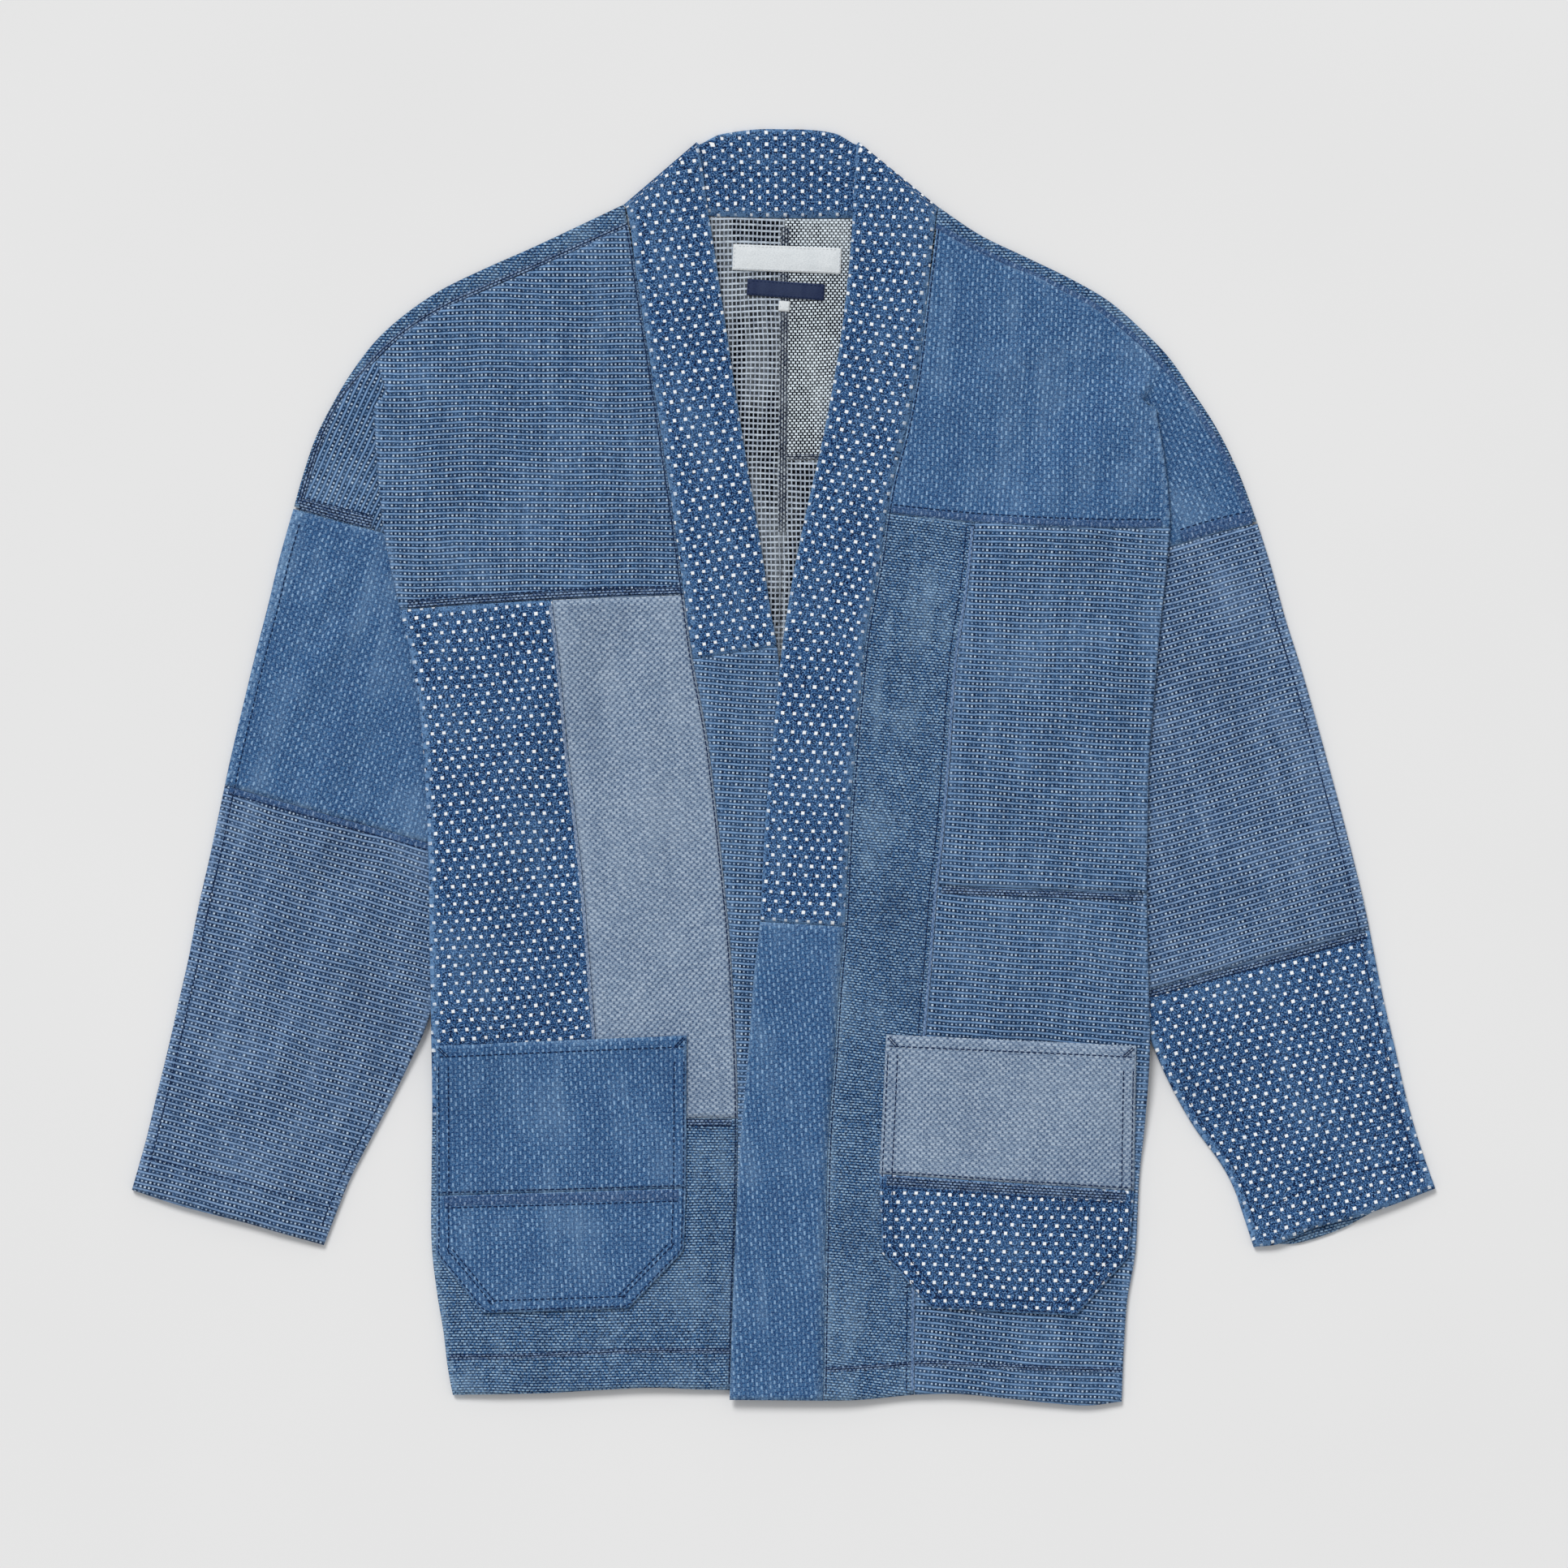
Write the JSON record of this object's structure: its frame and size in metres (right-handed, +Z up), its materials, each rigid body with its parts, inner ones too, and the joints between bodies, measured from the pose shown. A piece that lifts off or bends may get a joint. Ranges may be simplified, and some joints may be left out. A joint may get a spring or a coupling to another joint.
{
  "type": "patched boro jacket",
  "caption": "Open-fronted patchwork cotton jacket with a long band collar and two patch pockets, laid flat with its front up.",
  "frame": {"origin": "middle of the flat jacket's outline, on the surface it lies on", "axes": "+Z up from the surface, +Y from the hem towards the collar, +X across the body towards the wearer's left"},
  "size_m": [0.8828, 0.864, 0.014],
  "materials": {
    "dot_cloth": "indigo cotton with woven white dots",
    "grid_cloth": "indigo cotton with a light grid of thick yarn",
    "pale_cloth": "faded pale indigo twill",
    "fine_cloth": "fine speckled indigo weave",
    "blue_cloth": "indigo sashiko cotton with small running stitches",
    "inside_cloth": "reverse of the grid cloth, with white floats",
    "net_cloth": "reverse of a diamond net weave",
    "white_label": "blank white woven label",
    "navy_label": "blank navy woven label"
  },
  "bodies": {
    "root": {"front_right_yoke": "grid_cloth", "front_right_dot_panel": "dot_cloth", "front_right_pale_panel": "pale_cloth", "front_right_skirt": "fine_cloth", "pocket_right_top": "blue_cloth", "pocket_right_base": "blue_cloth", "front_left_yoke": "blue_cloth", "front_left_fine_strip": "fine_cloth", "front_left_grid_upper": "grid_cloth", "front_left_grid_lower": "grid_cloth", "pocket_left_top": "pale_cloth", "pocket_left_base": "dot_cloth", "sleeve_right_upper": "blue_cloth", "sleeve_right_lower": "grid_cloth", "sleeve_right_back": "fine_cloth", "sleeve_left_upper": "grid_cloth", "sleeve_left_lower": "dot_cloth", "sleeve_left_back": "fine_cloth", "back_right": "inside_cloth", "back_left_upper": "net_cloth", "back_left_lower": "inside_cloth", "collar_band_dots": "dot_cloth", "collar_right_lower": "grid_cloth", "collar_left_lower": "blue_cloth", "neck_label": "white_label", "origin_label": "navy_label", "size_tab": "white_label"}
  },
  "joints": []
}
